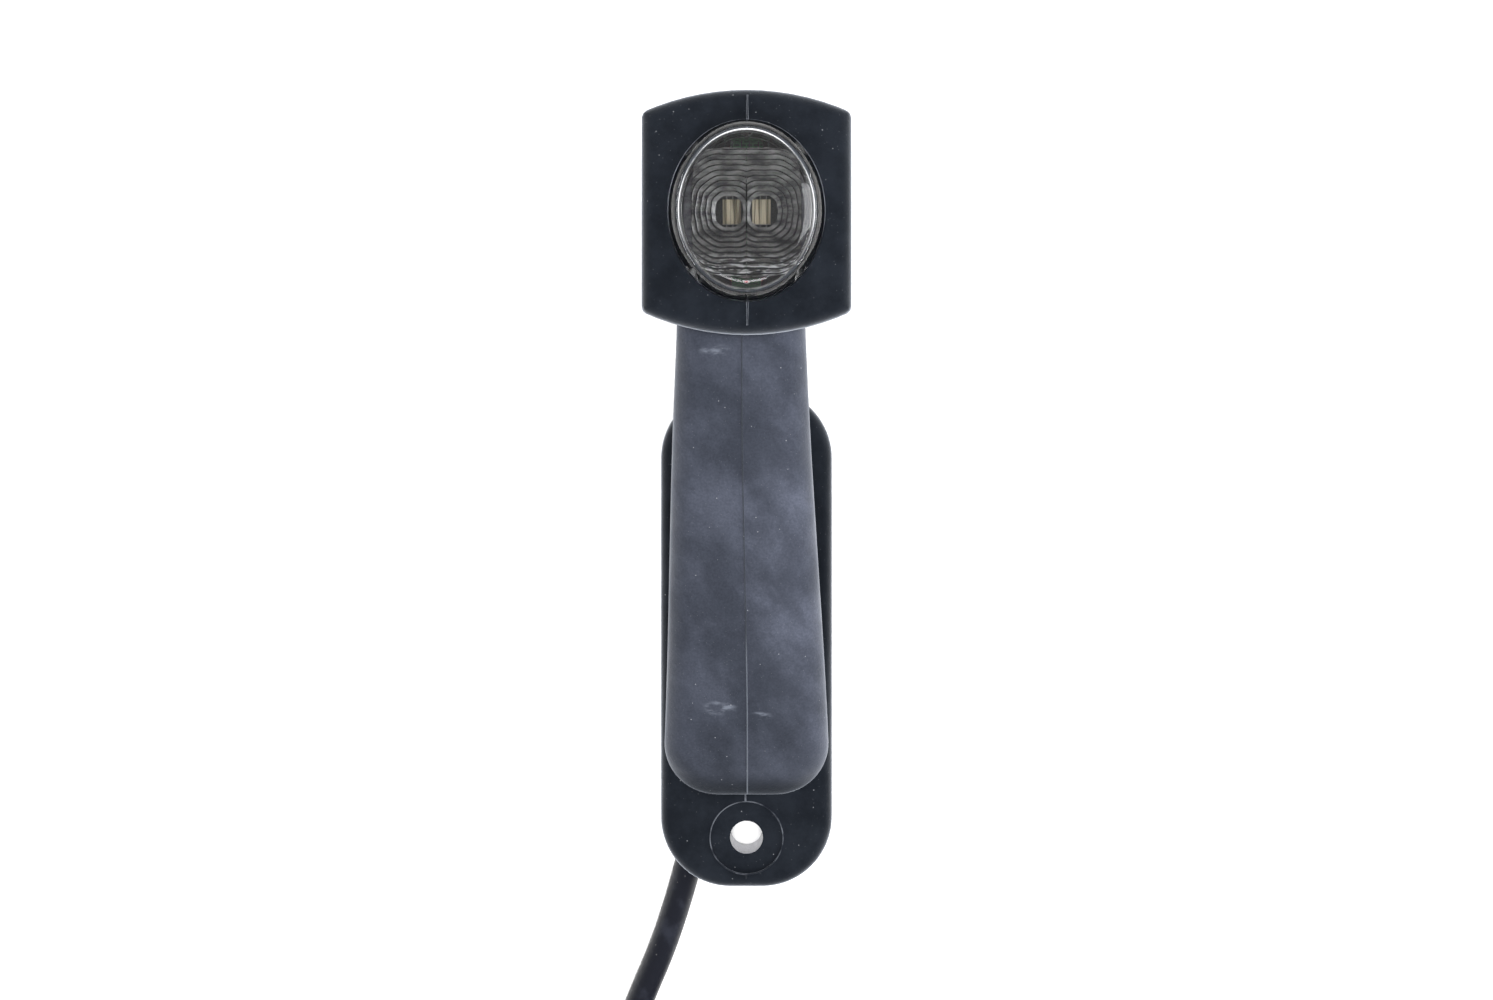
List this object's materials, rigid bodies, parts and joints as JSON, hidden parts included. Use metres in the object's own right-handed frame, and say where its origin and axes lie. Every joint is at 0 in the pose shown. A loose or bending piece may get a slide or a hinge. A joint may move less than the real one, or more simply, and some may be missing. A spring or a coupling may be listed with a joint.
{
  "type": "flexible-arm end-outline marker lamp",
  "caption": "Truck and trailer end-outline marker lamp: a rubber foot with two bolt holes, a flexible rubber arm and a rubber head holding a clear front and red rear LED module, with its cable.",
  "frame": {"origin": "on the flat back of the foot, midway between the two bolts", "axes": "+Z out of the mounting face, the way the front lens looks; +Y along the lamp from the foot to the head; +X across the foot"},
  "size_m": [0.0682, 0.2476, 0.06],
  "materials": {
    "rubber": "matte moulded, faint bloom",
    "zinc_steel": "zinc plated",
    "insert_steel": "primed for bonding",
    "clear_lens": "clear acrylic, polished",
    "red_lens": "red acrylic, polished",
    "clear_optic": "clear acrylic with prism rings",
    "red_optic": "red acrylic with prism rings",
    "seal_rubber": "soft, matte",
    "housing_plastic": "moulded black",
    "board_green": "green solder mask",
    "plated_copper": "tinned",
    "led_ceramic": "moulded white package",
    "led_phosphor": "phosphor under clear resin",
    "chip_black": "moulded epoxy",
    "resistor_ceramic": "coated film on white body",
    "capacitor_can": "drawn can",
    "cable_jacket": "extruded, slight sheen",
    "white_insulation": "extruded",
    "brown_insulation": "extruded",
    "tinned_strands": "stranded, tinned",
    "resin": "poured resin",
    "tie_nylon": "moulded nylon"
  },
  "bodies": {
    "foot": {"rubber_foot": "rubber", "steel_insert": "insert_steel", "bolt_sleeves": "zinc_steel", "rubber_arm_lower": "rubber", "cable_foot_run": "cable_jacket", "cable_arm_lower": "cable_jacket", "cable_free_run": "cable_jacket", "cable_coil": "cable_jacket", "cable_tie": "tie_nylon", "live_core": "brown_insulation", "earth_core": "white_insulation", "bare_strands": "tinned_strands"},
    "arm": {"rubber_arm_middle": "rubber", "cable_arm_middle": "cable_jacket"},
    "lamp_head": {"rubber_arm_upper": "rubber", "rubber_head": "rubber", "front_lens": "clear_lens", "rear_lens": "red_lens", "front_seal": "seal_rubber", "rear_seal": "seal_rubber", "module_housing": "housing_plastic", "circuit_board": "board_green", "plated_rings": "plated_copper", "front_leds": "led_ceramic", "front_led_phosphor": "led_phosphor", "rear_leds": "led_ceramic", "front_optic": "clear_optic", "rear_optic": "red_optic", "resistors": "resistor_ceramic", "rectifier_diode": "chip_black", "driver_chip": "chip_black", "capacitor": "capacitor_can", "live_lead": "brown_insulation", "earth_lead": "white_insulation", "potting_plug": "resin", "cable_arm_upper": "cable_jacket", "cable_head_run": "cable_jacket"}
  },
  "joints": [
    {"name": "arm_bend_fore_aft", "type": "hinge", "parent": "foot", "child": "arm", "pos_m": [0, 0.0165, 0.02434], "axis": [1, 0, 0], "range_deg": [-12, 45], "stiffness_Nm_per_rad": 1, "springref_deg": 1.72, "deforming": ["rubber_arm_lower", "cable_arm_lower"]},
    {"name": "arm_bend_sideways", "type": "hinge", "parent": "arm", "child": "lamp_head", "pos_m": [0, 0.0425, 0.03284], "axis": [0, -0.3107, 0.9505], "range_deg": [-30, 30], "stiffness_Nm_per_rad": 2.3, "deforming": ["rubber_arm_upper", "cable_arm_upper"]}
  ]
}
